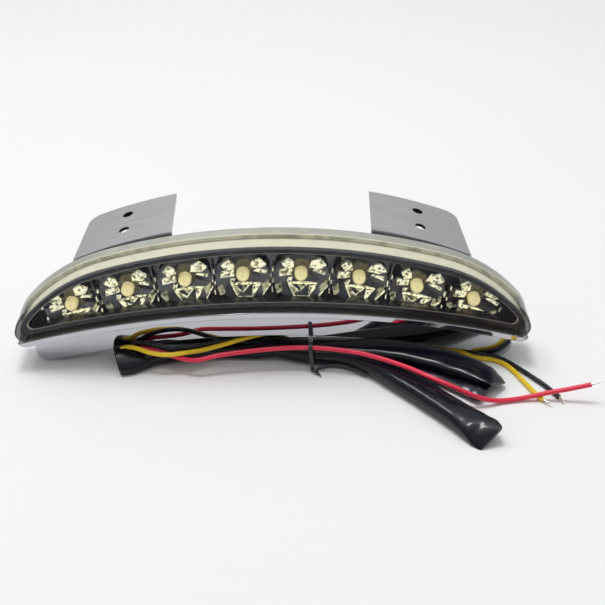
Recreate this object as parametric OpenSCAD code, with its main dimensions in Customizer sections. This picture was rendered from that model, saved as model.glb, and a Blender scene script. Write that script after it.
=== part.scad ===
// Arched LED tail light for a chopped motorcycle fender.
// The lens faces -Y, +X runs along the lamp and Z = 0 is the surface that it stands on.
// Depths below are counted backwards from the front face of the lens.

/* [Outline] */
// Radius of the crown, the long arc along the top
crown_r = 285; // [282:1:290]
// Height of the crown
crown_z = 64; // [63:0.5:65]
// Angle at which the crown turns into the shoulders
crown_a = 16; // [15.5:0.1:16.5]
// Radius of the shoulders
shoulder_r = 76; // [75:0.5:77]
// Angle at which the shoulders turn into the cheeks
shoulder_a = 50; // [49:0.5:51]
// Radius of the cheeks beside the tips
cheek_r = 18; // [17:0.5:19]
// Radius of the tips
tip_r = 4.5; // [4:0.5:5]
// Radius of the hollow lower edge of the lens
belly_r = 467; // [460:1:475]
// Height of that edge at the middle
belly_z = 29.2; // [28.8:0.1:29.6]

/* [Housing] */
// Depth of the lamp from the lens face to the housing's back
lamp_depth = 20; // [19.5:0.5:21]
// Depth at which the lens ends and the housing's rim begins
rim_y = 13.5; // [13:0.5:14]
// Height of the lip under the lens
lip_h = 3.1; // [2.8:0.1:3.4]
// Height of the skirt below the lip
skirt_h = 13.5; // [13:0.1:14]
// How far the skirt's face lies behind the lens face
skirt_y = 7; // [6:0.5:8]
// Radius of the two lower corners that the lamp stands on
foot_r = 6.3; // [5.5:0.1:7]
// Wall of the housing
wall = 2; // [1.6:0.2:2.2]

/* [Lens] */
// Thickness of the lens face
lens_t = 2.4; // [2:0.1:2.5]
// Thickness of the lens's side wall
lens_wall = 2.2; // [1.8:0.1:2.2]
// Width of the dark border around the window
window_inset = 4.8; // [4.5:0.1:5]

/* [Light sources] */
// Number of light-emitting diodes in the row
led_count = 8; // [8]
// Distance between neighbouring diodes
led_pitch = 26.8; // [26.4:0.1:27]
// Radius of the arc that the row follows
led_arc_r = 300; // [290:1:310]
// Height of the middle of the row
led_arc_z = 44.5; // [44:0.5:45]
// Radius of one diode's dome
led_r = 3; // [2.5:0.1:3]

/* [Brackets] */
// Outer radius of the curved steel plates, which lie under the fender
plate_r = 240; // [238:1:242]
// Height that the plates' curve would reach at the middle
plate_z = 65.5; // [65:0.1:66]
// Thickness of the steel
steel_t = 1.5; // [1.2:0.1:1.6]
// Thickness of the rubber strip between a bracket and the housing
gasket_t = 2; // [1.5:0.5:2.5]
// Distance from the lens face to the plates' rear edge
total_depth = 62; // [60:1:64]
// Depth of the flange that is screwed to the housing
flange_h = 14; // [13:0.5:15]
// Radius of the fender bolt holes
hole_r = 2.6; // [2.2:0.1:2.8]
// Distance between the two bolt holes of one plate
hole_pitch = 16; // [15:0.5:17]
// Height of the collar under each rear bolt hole
collar_h = 3.5; // [3:0.5:4]
// Outer radius of that collar
collar_r = 4.2; // [4:0.1:4.5]

/* [Cable] */
// Outer diameter of one wire
wire_d = 2.2; // [1.8:0.1:2.4]
// Outer diameter of the sleeve where it is round
sleeve_d = 11; // [10.6:0.1:11]

/* [Hidden] */
$fn = 48;
fine = 720;

front_y = -total_depth / 2;
back_y = lamp_depth - wall;
plate_y = lamp_depth + gasket_t;

// Centres of the outline's arcs, in the X-Z plane
crown_c = [0, crown_z - crown_r];
shoulder_c = crown_c + (crown_r - shoulder_r) * [sin(crown_a), cos(crown_a)];
cheek_c = shoulder_c + (shoulder_r - cheek_r) * [sin(shoulder_a), cos(shoulder_a)];
belly_c = [0, belly_z - belly_r];
lip_r = belly_r - lip_h;
skirt_r = lip_r - skirt_h;
foot_x = sqrt(pow(skirt_r + foot_r, 2) - pow(foot_r - belly_c.y, 2));
foot_c = [foot_x, foot_r];

// Inset from the outline of each part that is nested in the lens
bezel_inset = lens_wall + 0.3;
spigot_inset = lens_wall + 0.3;
spigot_wall = 1.5;
reflector_inset = spigot_inset + spigot_wall + 0.2;
window_tip_r = 2.5;

// Depths of the parts between the lens and the housing's back
bezel_y = lens_t + 0.1;
reflector_y = 5;
spigot_y = 5.4;
seal_t = 0.6;
board_y = 14.6;
board_t = 1.6;
board_half_w = 5;
board_half_len = 99;
board_screw_x = [-80.4, -26.8, 26.8, 80.4];

led_arc_c = [0, led_arc_z - led_arc_r];
plate_c = [0, plate_z - plate_r];

// Plan of a bracket: half-widths from the middle of the lamp, front and rear
plate_inner_front = 46;
plate_inner_rear = 47;
plate_outer_front = 93;
plate_outer_rear = 90.5;
plate_corner_r = 6;
hole_a = 17;
hole_first_y = plate_y + 13.5;
screw_xs = [58, 82];
screw_ring_r = plate_r - 8;
screw_r = 2;
screw_head_r = 3.8;
screw_head_h = 2.4;

grommet_z = 42;
grommet_neck_r = 6;
grommet_flange_r = 9.5;
grommet_bore_r = 3.4;
grommet_socket_y = 26;
grommet_end_y = 36;
lead_ring_r = 1.5;

// Route of the sleeve from the grommet, down behind the lamp and round to its front
lead_route = [
    [0, 26, 42], [0, 33, 42], [0, 40, 41], [-1, 47, 38.5], [-4, 52.5, 33], [-8, 55.5, 26],
    [-13, 56.5, 19], [-19.5, 55, 12.5], [-27, 50.5, 7.5], [-33, 44, 5.7], [-36.5, 36.5, 5.5],
    [-34, 29, 5.5], [-27.2, 22.3, 5.5], [-18, 19.5, 5.5]
];

// Plan of the folded sleeve: its runs, seen from above
run_out = [[-18, 19.5], [0, 14], [18, 7]];
run_out_size = [10, 8.5];
run_left = [[-71, 0], [-58, 7.5], [-40, 10.5], [-10, 10.5], [18, 5]];
run_left_size = [13, 7];
lobe_rear = [[18, 4], [45, 1.5], [76, -9], [95, -22]];
lobe_rear_size = [17, 10.2];
lobe_front = [[18, 4], [37, 2], [49, -7.5], [66, -27.5], [81, -45.5], [90, -57]];
lobe_front_size = [13, 9.2];

// The tie around the bundle: its place along X, its width and its loop's two Y-Z outlines
tie_x = 18;
tie_w = 1.6;
tie_inner = [[-4.6, 1], [11.5, 1], [11.5, 9], [1, 13.5], [-4.6, 13.5]];
tie_outer = [[-5.6, 0], [12.5, 0], [12.5, 9.7], [1.2, 14.5], [-5.6, 14.5]];

// Routes of the three wires' free ends, from the sleeve's mouth
red_route = [
    [-71, 0, 2.4], [-73.6, -1.5, 2.4], [-75.3, -2.1, 3.7], [-75.8, -2, 5.6], [-75.1, -1.6, 7.4],
    [-73.2, -0.9, 8.4], [-70, 0, 8.6], [-64.6, 3.6, 8.8], [-58, 2, 9.2], [-50, -0.6, 8.4],
    [-43, -3.6, 7.6], [-36, -6.2, 8.3], [-25, -4.4, 9.6], [-11, -2.8, 10.4], [4, -2, 11.3],
    [18, -2.5, 12], [31, -4.5, 12], [41, -7, 11.7], [51, -12, 11.7], [61, -19, 11.7],
    [71, -26.5, 11.2], [80, -31, 9.4], [88, -33, 6.4], [95.5, -33, 3.4], [102.5, -31.5, 1.6],
    [109, -30.3, 1.3], [116, -29.5, 2.2], [124, -29.2, 4], [133, -29.6, 6.2], [142.5, -30.3, 9]
];
yellow_route = [
    [-72.3, 2.2, 3.2], [-74.9, 0.7, 3.2], [-76.6, 0.2, 4.6], [-77.2, 0.5, 6.8], [-76.4, 0.9, 9],
    [-74.2, 1.1, 10.4], [-71, 0.5, 10.8], [-64.6, 1, 10.8], [-58, -2.6, 10.6], [-50, -4.3, 10.2],
    [-42, -3, 10.2], [-34, 0, 9.6], [-24, 4.5, 9.4], [-15, 8.8, 9.7], [-5, 12.4, 10],
    [6, 14.6, 10], [16, 15.8, 8.8], [26, 16, 6.2], [37, 16.4, 3.4], [48, 17, 1.5],
    [60, 18, 1.1], [72, 17.8, 1.1], [81, 15.4, 1.1], [87.6, 11.2, 1.1], [91.6, 7, 1.1],
    [96, 4, 1.1], [103.4, 2, 1.1], [108, -1.2, 1.1], [111.6, -7, 1.1], [115, -15.6, 1.1], [118, -23.4, 1.1],
    [121.4, -31, 1.1]
];
black_route = [
    [-73.5, 4.3, 2.6], [-76.1, 2.8, 2.6], [-77.8, 2.7, 4], [-78.2, 3.1, 6.2], [-77.3, 3.6, 8.2],
    [-75, 3.8, 9.2], [-71.5, 3.8, 9.3], [-65, 6.2, 9.8], [-58, 2.6, 11.8], [-50, -0.2, 12.2],
    [-42, -0.2, 12], [-34, 2.4, 11], [-24, 7.2, 10.1], [-15, 11.8, 9.9], [-5, 15.3, 10],
    [6, 17.5, 9.7], [16, 18.6, 7.9], [27, 18.8, 4.6], [38, 19.2, 2], [50, 20, 1.1],
    [62, 20.8, 1.1], [74, 20.4, 1.1], [83.6, 17.8, 1.1], [90, 12, 1.1], [94, 8.3, 1.1],
    [97.6, 6, 1.1], [104.3, 4.8, 1.1], [109.2, 1.2, 1.1], [114, -4.6, 1.1], [119, -11.6, 1.1], [124, -19, 1.1],
    [129, -28.6, 1.1]
];
tip_len = 5;
wire_tip_r = 0.55;
wire_sides = 8;
sleeve_sides = 12;

chrome = [0.78, 0.79, 0.81];
smoke = [0.25, 0.25, 0.28, 0.6];
black_rubber = [0.12, 0.12, 0.14];

// ---- Plane geometry -------------------------------------------------------------------

// Point at radius r from c, at angle a clockwise from the second axis
function polar(c, r, a) = [c.x + r * sin(a), c.y + r * cos(a)];

// Arc without its last point
function arc(c, r, from, to, steps) =
    [for (i = [0 : steps - 1]) polar(c, r, from + (to - from) * i / steps)];

// Angle of the direction from one point to another, clockwise from the second axis
function bearing(from, to) = atan2(to.x - from.x, to.y - from.y);

// The crossing of two circles that lies further along +X
function meet(c0, r0, c1, r1) =
    let (
        d = norm(c1 - c0),
        u = (c1 - c0) / d,
        a = (r0 * r0 - r1 * r1 + d * d) / (2 * d),
        h = sqrt(r0 * r0 - a * a)
    ) c0 + a * u + h * [-u.y, u.x];

// A closed outline from its right half, which starts and ends on the Z axis
function both_halves(right) =
    concat(right, [for (i = [len(right) - 2 : -1 : 1]) [-right[i].x, right[i].y]]);

// Unit vector to the left of the way from a to b
function across(a, b) = let (d = (b - a) / norm(b - a)) [-d.y, d.x];

// Point of a line's parallel at distance d to its left, beside the line's point i
function side_point(p, i, d) =
    let (
        n = len(p) - 1,
        u = across(p[max(i - 1, 0)], p[max(i, 1)]),
        v = across(p[min(i, n - 1)], p[min(i + 1, n)])
    ) p[i] + d * (u + v) / (1 + u * v);

// The lamp's crescent, shrunk by inset, with its hollow edge at radius belly
function crescent(inset, belly = belly_r, tip = undef) =
    let (
        t = is_undef(tip) ? max(tip_r - inset, 1) : tip,
        c = meet(cheek_c, cheek_r - inset - t, belly_c, belly + inset + t)
    ) both_halves(concat(
        arc(crown_c, crown_r - inset, 0, crown_a, 12),
        arc(shoulder_c, shoulder_r - inset, crown_a, shoulder_a, 8),
        arc(cheek_c, cheek_r - inset, shoulder_a, bearing(cheek_c, c), 4),
        arc(c, t, bearing(cheek_c, c), bearing(c, belly_c) + 360, 8),
        arc(belly_c, belly + inset, bearing(belly_c, c), 0, 12),
        [[0, belly_c.y + belly + inset]]
    ));

// The skirt below the lens, shrunk by inset, from radius top_r down to the feet
function skirt(inset, top_r) =
    let (
        top_a = asin((foot_x + foot_r - inset) / top_r),
        foot_a = bearing(foot_c, belly_c) + 360
    ) both_halves(concat(
        arc(belly_c, top_r, 0, top_a, 12),
        [polar(belly_c, top_r, top_a)],
        arc(foot_c, foot_r - inset, 90, foot_a, 6),
        arc(belly_c, skirt_r + inset, bearing(belly_c, foot_c), 0, 12),
        [[0, belly_c.y + skirt_r + inset]]
    ));

// Height on a circle of radius r about c, above its centre line
function height_on(c, r, x) = c.y + sqrt(r * r - x * x);

function led_x(i) = (i - (led_count - 1) / 2) * led_pitch;
function led_z(x) = height_on(led_arc_c, led_arc_r, x);

// ---- Solids ---------------------------------------------------------------------------

// An X-Z outline made solid between two depths
module slab(from_y, to_y) {
    translate([0, front_y + to_y, 0]) rotate([90, 0, 0]) linear_extrude(to_y - from_y) children();
}

// A round peg or, with two radii, a cone along the depth
module peg(x, z, from_y, to_y, front_r, rear_r = undef) {
    r = is_undef(rear_r) ? front_r : rear_r;
    translate([x, front_y + to_y, z]) rotate([90, 0, 0]) cylinder(h = to_y - from_y, r1 = r, r2 = front_r);
}

// The part of a ring between two half-widths, on the right-hand side
module arch_band(c, inner_r, outer_r, from_x, to_x) {
    intersection() {
        difference() {
            translate(c) circle(r = outer_r, $fn = fine);
            translate(c) circle(r = inner_r, $fn = fine);
        }
        translate([from_x, 0]) square([to_x - from_x, crown_z + 10]);
    }
}

// A flat strand from point to point, of a given width and height, with a cut start and a round end
module strand(points, size) {
    r = size[0] / 2;
    n = len(points) - 1;
    side = across(points[n - 1], points[n]);
    ahead = [side.y, -side.x];
    translate([0, front_y]) linear_extrude(size[1]) polygon(concat(
        [for (i = [0 : n]) side_point(points, i, r)],
        [for (a = [22.5 : 22.5 : 157.5]) points[n] + r * (cos(a) * side + sin(a) * ahead)],
        [for (i = [n : -1 : 0]) side_point(points, i, -r)]
    ));
}

// Direction of a route at one of its points
function heading(p, i) =
    let (v = p[min(i + 1, len(p) - 1)] - p[max(i - 1, 0)]) v / norm(v);

// Two directions across the route at each of its points, turned as little as possible
function frames(p, i = 0, n = [0, 0, 1]) =
    i == len(p) ? [] :
    let (t = heading(p, i), v = n - t * (n * t), side = v / norm(v))
    concat([[side, cross(t, side)]], frames(p, i + 1, side));

// A tube along a route, given in depths behind the lens face
module tube(route, r, sides) {
    p = [for (q = route) [q.x, front_y + q.y, q.z]];
    n = len(p);
    f = frames(p);
    rings = [for (i = [0 : n - 1], k = [0 : sides - 1])
        p[i] + r * (cos(360 * k / sides) * f[i][0] + sin(360 * k / sides) * f[i][1])];
    walls = [for (i = [0 : n - 2], k = [0 : sides - 1])
        [i * sides + k, (i + 1) * sides + k,
         (i + 1) * sides + (k + 1) % sides, i * sides + (k + 1) % sides]];
    first = [for (k = [0 : sides - 1]) k];
    last = [for (k = [sides - 1 : -1 : 0]) (n - 1) * sides + k];
    polyhedron(points = rings, faces = concat(walls, [first, last]));
}

// A thin rod on from the end of a route
module rod_on(route, len, r) {
    n = len(route) - 1;
    t = heading(route, n);
    p = route[n];
    translate([p.x, front_y + p.y, p.z])
        rotate([0, acos(t.z), atan2(t.y, t.x)]) cylinder(h = len, r = r);
}

// ---- Housing and what it holds ----------------------------------------------------------

module housing() {
    color(chrome) difference() {
        union() {
            slab(rim_y, lamp_depth) polygon(crescent(0, lip_r));
            slab(0.8, rim_y) intersection() {
                polygon(crescent(0, lip_r));
                translate(belly_c) circle(r = belly_r - 0.1, $fn = fine);
            }
            slab(spigot_y, rim_y) difference() {
                polygon(crescent(spigot_inset));
                polygon(crescent(spigot_inset + spigot_wall));
            }
            slab(skirt_y, lamp_depth) polygon(skirt(0, lip_r + 1.5));
        }
        slab(spigot_y, back_y) polygon(crescent(spigot_inset + spigot_wall));
        slab(skirt_y + wall, back_y) polygon(skirt(wall, lip_r - 1));
        peg(0, grommet_z, back_y - 1, lamp_depth + 1, grommet_neck_r);
        bracket_screw_places() peg(0, 0, back_y - 1, lamp_depth + 1, screw_r + 0.05);
    }
    color(chrome) difference() {
        for (x = board_screw_x) peg(x, led_z(x), board_y + board_t, back_y + 0.5, 3.2);
        for (x = board_screw_x) peg(x, led_z(x), board_y, back_y - 0.4, 1.25);
    }
}

module lens() {
    color(smoke) {
        slab(0, lens_t) polygon(crescent(0));
        slab(lens_t, rim_y - seal_t) difference() {
            polygon(crescent(0));
            polygon(crescent(lens_wall));
        }
    }
}

module lens_seal() {
    color([0.72, 0.7, 0.58]) slab(rim_y - seal_t, rim_y) difference() {
        polygon(crescent(0.3));
        polygon(crescent(lens_wall));
    }
}

module bezel() {
    color([0.13, 0.13, 0.15]) slab(bezel_y, reflector_y) difference() {
        polygon(crescent(bezel_inset));
        polygon(crescent(window_inset, tip = window_tip_r));
    }
}

module reflector() {
    bowl_r = 11.6;
    throat_r = led_r + 0.3;
    skin = 1.2;
    color([0.9, 0.9, 0.86]) intersection() {
        slab(reflector_y, board_y) polygon(crescent(reflector_inset));
        difference() {
            union() {
                slab(reflector_y, reflector_y + skin) polygon(crescent(reflector_inset));
                for (i = [0 : led_count - 1])
                    peg(led_x(i), led_z(led_x(i)), reflector_y, board_y - 0.2,
                        bowl_r + skin, throat_r + skin);
            }
            for (i = [0 : led_count - 1])
                peg(led_x(i), led_z(led_x(i)), reflector_y - 0.1, board_y, bowl_r, throat_r);
        }
    }
}

module circuit_board() {
    color([0.1, 0.35, 0.2]) slab(board_y, board_y + board_t) difference() {
        intersection() {
            difference() {
                translate(led_arc_c) circle(r = led_arc_r + board_half_w, $fn = fine);
                translate(led_arc_c) circle(r = led_arc_r - board_half_w, $fn = fine);
            }
            translate([-board_half_len, 0]) square([2 * board_half_len, crown_z]);
            polygon(crescent(reflector_inset + 0.3));
        }
        for (x = board_screw_x) translate([x, led_z(x)]) circle(r = 1.6);
    }
}

module board_screws() {
    color([0.7, 0.7, 0.72]) for (x = board_screw_x) {
        peg(x, led_z(x), board_y, back_y - 0.6, 1.2);
        difference() {
            peg(x, led_z(x), board_y - 1.4, board_y, 2.6);
            slab(board_y - 2, board_y - 0.8) translate([x - 1.6, led_z(x) - 0.3]) square([3.2, 0.6]);
        }
    }
}

module led(i) {
    x = led_x(i);
    z = led_z(x);
    flange = 0.8;
    body = 4.6;
    color([0.95, 0.93, 0.75]) {
        peg(x, z, board_y - flange, board_y, led_r + 0.2);
        peg(x, z, board_y - body, board_y - flange, led_r);
        translate([x, front_y + board_y - body, z]) sphere(r = led_r);
    }
}

module resistors() {
    color([0.15, 0.15, 0.15]) for (i = [0 : led_count - 1]) {
        x = led_x(i) + (led_x(i) > 0 ? -9.2 : 6);
        slab(board_y + board_t, board_y + board_t + 0.6) translate([x, led_z(x) - 0.8]) square([3.2, 1.6]);
    }
}

module diodes() {
    color([0.1, 0.1, 0.1]) for (x = [-20, 15.5]) {
        slab(board_y + board_t, board_y + board_t + 1.4) translate([x, led_z(x) - 1.3]) square([4.5, 2.6]);
    }
}

// The three wires' places in the grommet, in a triangle
module lead_places() {
    for (k = [0 : 2]) translate([lead_ring_r * sin(120 * k), 0, grommet_z + lead_ring_r * cos(120 * k)])
        children();
}

module solder_joints() {
    color([0.75, 0.75, 0.78]) lead_places()
        peg(0, 0, board_y + board_t, board_y + board_t + 0.8, 0.8, 1.1);
}

module inner_leads() {
    color([0.5, 0.15, 0.15]) lead_places()
        peg(0, 0, board_y + board_t + 0.8, grommet_socket_y, wire_d / 2);
}

// ---- Brackets ---------------------------------------------------------------------------

module bracket_plan() {
    c = [plate_outer_rear - plate_corner_r, front_y + total_depth - plate_corner_r];
    linear_extrude(crown_z + 10) polygon(concat(
        [[plate_inner_front, front_y + plate_y - 1], [plate_inner_rear, front_y + total_depth]],
        arc(c, plate_corner_r, 0, 87, 6),
        [polar(c, plate_corner_r, 87), [plate_outer_front, front_y + plate_y - 1]]
    ));
}

// Puts its child at the four screws that hold the brackets to the housing
module bracket_screw_places() {
    for (side = [-1, 1], x = screw_xs)
        translate([side * x, 0, height_on(plate_c, screw_ring_r, x)]) children();
}

// Puts its child on the right-hand plate's outer surface at one of its bolt holes
module bolt_hole_place(k) {
    translate([plate_c.x, front_y + hole_first_y + k * hole_pitch, plate_c.y]) rotate([0, hole_a, 0])
        translate([0, 0, plate_r]) children();
}

module bracket(side) {
    color([0.72, 0.73, 0.75]) mirror([side < 0 ? 1 : 0, 0, 0]) difference() {
        union() {
            intersection() {
                slab(plate_y, total_depth)
                    arch_band(plate_c, plate_r - steel_t, plate_r, plate_inner_front - 1, plate_outer_front);
                bracket_plan();
            }
            slab(plate_y, plate_y + steel_t)
                arch_band(plate_c, plate_r - flange_h, plate_r, plate_inner_front, plate_outer_front);
            bolt_hole_place(1) translate([0, 0, -steel_t - collar_h])
                cylinder(h = collar_h + steel_t / 2, r = collar_r);
        }
        for (k = [0, 1]) bolt_hole_place(k) translate([0, 0, -2 * collar_h])
            cylinder(h = 3 * collar_h, r = hole_r);
        bracket_screw_places() peg(0, 0, plate_y - 1, plate_y + steel_t + 1, screw_r + 0.25);
    }
}

module bracket_gaskets() {
    color(black_rubber) difference() {
        for (side = [0, 1]) mirror([side, 0, 0]) slab(lamp_depth, plate_y)
            arch_band(plate_c, plate_r - flange_h + 1, plate_r - 1.4,
                plate_inner_front + 0.5, plate_outer_front - 0.5);
        bracket_screw_places() peg(0, 0, lamp_depth - 1, plate_y + 1, screw_r + 0.25);
    }
}

module bracket_screws() {
    socket_r = 1.5;
    head_y = plate_y + steel_t;
    color([0.7, 0.7, 0.72]) bracket_screw_places() {
        peg(0, 0, back_y, head_y, screw_r);
        difference() {
            peg(0, 0, head_y, head_y + screw_head_h, screw_head_r, screw_head_r - 0.8);
            translate([0, front_y + head_y + screw_head_h + 1, 0]) rotate([90, 0, 0])
                cylinder(h = 2.4, r = socket_r, $fn = 6);
        }
    }
}

// ---- Cable ------------------------------------------------------------------------------

module cable_grommet() {
    profile = [
        [grommet_bore_r, back_y], [grommet_neck_r, back_y], [grommet_neck_r, lamp_depth],
        [grommet_flange_r, lamp_depth], [grommet_flange_r, lamp_depth + 2], [8, lamp_depth + 3],
        [6.6, grommet_end_y], [sleeve_d / 2 + 0.05, grommet_end_y],
        [sleeve_d / 2 + 0.05, grommet_socket_y], [grommet_bore_r, grommet_socket_y]
    ];
    color(black_rubber) translate([0, front_y, grommet_z]) rotate([-90, 0, 0])
        rotate_extrude() polygon(profile);
}

module sleeve_lead() {
    color(black_rubber) tube(lead_route, sleeve_d / 2, sleeve_sides);
}

// A slice across the bundle at the tie
module tie_slice() {
    translate([tie_x - tie_w / 2, front_y, 0]) rotate([90, 0, 90]) linear_extrude(tie_w) children();
}

module sleeve_hank() {
    color(black_rubber) difference() {
        union() {
            strand(run_out, run_out_size);
            strand(run_left, run_left_size);
            strand(lobe_rear, lobe_rear_size);
            strand(lobe_front, lobe_front_size);
        }
        tie_slice() difference() {
            translate([-30, -10]) square([60, 40]);
            polygon(tie_inner);
        }
    }
}

module twist_tie() {
    color([0.08, 0.08, 0.09]) {
        tie_slice() difference() {
            polygon(tie_outer);
            polygon(tie_inner);
        }
        translate([tie_x, front_y - 5, 1]) rotate([90, 0, 25]) cylinder(h = 4.2, r = 1);
    }
}

module wire_red() {
    color([0.85, 0.15, 0.2]) tube(red_route, wire_d / 2, wire_sides);
}

module wire_yellow() {
    color([0.95, 0.78, 0.1]) tube(yellow_route, wire_d / 2, wire_sides);
}

module wire_black() {
    color([0.1, 0.1, 0.12]) tube(black_route, wire_d / 2, wire_sides);
}

module wire_tips() {
    color([0.7, 0.7, 0.68]) for (route = [red_route, yellow_route, black_route])
        rod_on(route, tip_len, wire_tip_r);
}

housing();
lens();
lens_seal();
bezel();
reflector();
circuit_board();
board_screws();
led(0);  // led_1
led(1);  // led_2
led(2);  // led_3
led(3);  // led_4
led(4);  // led_5
led(5);  // led_6
led(6);  // led_7
led(7);  // led_8
resistors();
diodes();
solder_joints();
inner_leads();
bracket(-1);  // bracket_left
bracket(1);  // bracket_right
bracket_gaskets();
bracket_screws();
cable_grommet();
sleeve_lead();
sleeve_hank();
twist_tie();
wire_red();
wire_yellow();
wire_black();
wire_tips();
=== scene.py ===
import math
import random

import bmesh
import bpy
from mathutils import Matrix, Vector


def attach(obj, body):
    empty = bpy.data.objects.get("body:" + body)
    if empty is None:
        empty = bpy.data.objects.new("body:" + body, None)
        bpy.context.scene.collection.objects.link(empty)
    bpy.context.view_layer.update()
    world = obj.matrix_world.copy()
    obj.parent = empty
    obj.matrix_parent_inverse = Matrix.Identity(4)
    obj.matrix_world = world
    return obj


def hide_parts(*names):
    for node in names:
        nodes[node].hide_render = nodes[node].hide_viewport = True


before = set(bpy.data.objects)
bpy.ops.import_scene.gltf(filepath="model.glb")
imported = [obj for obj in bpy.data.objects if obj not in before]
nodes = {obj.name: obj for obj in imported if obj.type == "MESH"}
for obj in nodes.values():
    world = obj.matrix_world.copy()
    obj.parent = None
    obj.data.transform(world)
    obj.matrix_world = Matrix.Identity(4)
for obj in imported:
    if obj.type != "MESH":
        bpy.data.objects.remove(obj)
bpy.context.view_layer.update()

# The lamp's and the cable's lengths are in millimetres up to the last step, MM, and depths are
# counted back from the lens face. The camera, the floor and the lights are in metres.
MM = 0.001
FRONT_Y = -31.0
scene = bpy.context.scene
scene.view_settings.view_transform = "Standard"


# ---- Camera -----------------------------------------------------------------------------

CAMERA_AT = (0.01408, -0.49936, 0.31917)
CAMERA_AHEAD = Vector((-0.00029, 0.85507, -0.51851))
CAMERA_RIGHT = Vector((0.99993, -0.00575, -0.01003))


def add_camera():
    data = bpy.data.cameras.new("camera")
    data.sensor_width = 36
    data.lens = 71.4
    data.clip_start = 0.01
    data.clip_end = 20
    cam = bpy.data.objects.new("camera", data)
    scene.collection.objects.link(cam)
    up = CAMERA_RIGHT.cross(CAMERA_AHEAD)
    turn = Matrix((CAMERA_RIGHT, up, -CAMERA_AHEAD)).transposed()
    cam.matrix_world = Matrix.Translation(CAMERA_AT) @ turn.to_4x4()
    scene.camera = cam


add_camera()


# ---- Materials --------------------------------------------------------------------------

def material(name, color, rough, metal=0.0, spread=0.06, scale=300, bump=0.0, bump_scale=900,
             stretch=(1, 1, 1), rough_spread=0.08, **sockets):
    """A procedural surface: noise shifts its colour and roughness, and finer noise gives its bump."""
    m = bpy.data.materials.new(name)
    m.use_nodes = True
    tree = m.node_tree
    new, link = tree.nodes.new, tree.links.new
    shader = tree.nodes["Principled BSDF"]
    shader.inputs["Metallic"].default_value = metal
    for key, value in sockets.items():
        shader.inputs[key.replace("_", " ")].default_value = value
    place = new("ShaderNodeTexCoord")
    mapping = new("ShaderNodeMapping")
    mapping.inputs["Scale"].default_value = stretch
    link(place.outputs["Object"], mapping.inputs["Vector"])
    noise = new("ShaderNodeTexNoise")
    noise.inputs["Scale"].default_value = scale
    noise.inputs["Detail"].default_value = 3
    link(mapping.outputs["Vector"], noise.inputs["Vector"])
    ramp = new("ShaderNodeValToRGB")
    ramp.color_ramp.elements[0].position = 0.3
    ramp.color_ramp.elements[1].position = 0.7
    ramp.color_ramp.elements[0].color = [c * (1 - spread) for c in color] + [1]
    ramp.color_ramp.elements[1].color = [min(1, c * (1 + spread)) for c in color] + [1]
    link(noise.outputs["Fac"], ramp.inputs["Fac"])
    link(ramp.outputs["Color"], shader.inputs["Base Color"])
    levels = new("ShaderNodeMapRange")
    levels.inputs["From Min"].default_value = 0.3
    levels.inputs["From Max"].default_value = 0.7
    levels.inputs["To Min"].default_value = max(0.0, rough * (1 - rough_spread))
    levels.inputs["To Max"].default_value = min(1.0, rough * (1 + rough_spread))
    link(noise.outputs["Fac"], levels.inputs["Value"])
    link(levels.outputs["Result"], shader.inputs["Roughness"])
    if bump:
        fine = new("ShaderNodeTexNoise")
        fine.inputs["Scale"].default_value = bump_scale
        fine.inputs["Detail"].default_value = 4
        link(mapping.outputs["Vector"], fine.inputs["Vector"])
        relief = new("ShaderNodeBump")
        relief.inputs["Strength"].default_value = bump
        relief.inputs["Distance"].default_value = 0.0002
        link(fine.outputs["Fac"], relief.inputs["Height"])
        link(relief.outputs["Normal"], shader.inputs["Normal"])
    return m


def painted_glint_slivers(m, dark, bright, scale, glow):
    """Paints glints: breaks a material's colour into small light and dark flecks, and the light ones glow as
    painted highlights.
    """
    tree = m.node_tree
    new, link = tree.nodes.new, tree.links.new
    shader = tree.nodes["Principled BSDF"]
    place = new("ShaderNodeTexCoord")
    cells = new("ShaderNodeTexVoronoi")
    cells.inputs["Scale"].default_value = scale
    link(place.outputs["Object"], cells.inputs["Vector"])
    ramp = new("ShaderNodeValToRGB")
    ramp.color_ramp.elements[0].position = 0.24
    ramp.color_ramp.elements[1].position = 0.5
    ramp.color_ramp.elements[0].color = [*dark, 1]
    ramp.color_ramp.elements[1].color = [*bright, 1]
    link(cells.outputs["Color"], ramp.inputs["Fac"])
    link(ramp.outputs["Color"], shader.inputs["Base Color"])
    link(ramp.outputs["Color"], shader.inputs["Emission Color"])
    shader.inputs["Emission Strength"].default_value = glow


def painted_dome_light(m, stops):
    """Paints light and shade on a dome: rings of colour round the middle of each object, seen along Y."""
    tree = m.node_tree
    new, link = tree.nodes.new, tree.links.new
    shader = tree.nodes["Principled BSDF"]
    centred = new("ShaderNodeVectorMath")
    centred.operation = "MULTIPLY_ADD"
    centred.inputs[1].default_value = (1, 0, 1)
    centred.inputs[2].default_value = (-0.5, 0, -0.66)
    link(new("ShaderNodeTexCoord").outputs["Generated"], centred.inputs[0])
    reach = new("ShaderNodeVectorMath")
    reach.operation = "LENGTH"
    link(centred.outputs["Vector"], reach.inputs[0])
    ramp = new("ShaderNodeValToRGB")
    steps = ramp.color_ramp.elements
    while len(steps) < len(stops):
        steps.new(0.5)
    for step, (at, color) in zip(steps, stops):
        step.position = at
        step.color = [*color, 1]
    link(reach.outputs["Value"], ramp.inputs["Fac"])
    link(ramp.outputs["Color"], shader.inputs["Base Color"])
    link(ramp.outputs["Color"], shader.inputs["Emission Color"])


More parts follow.
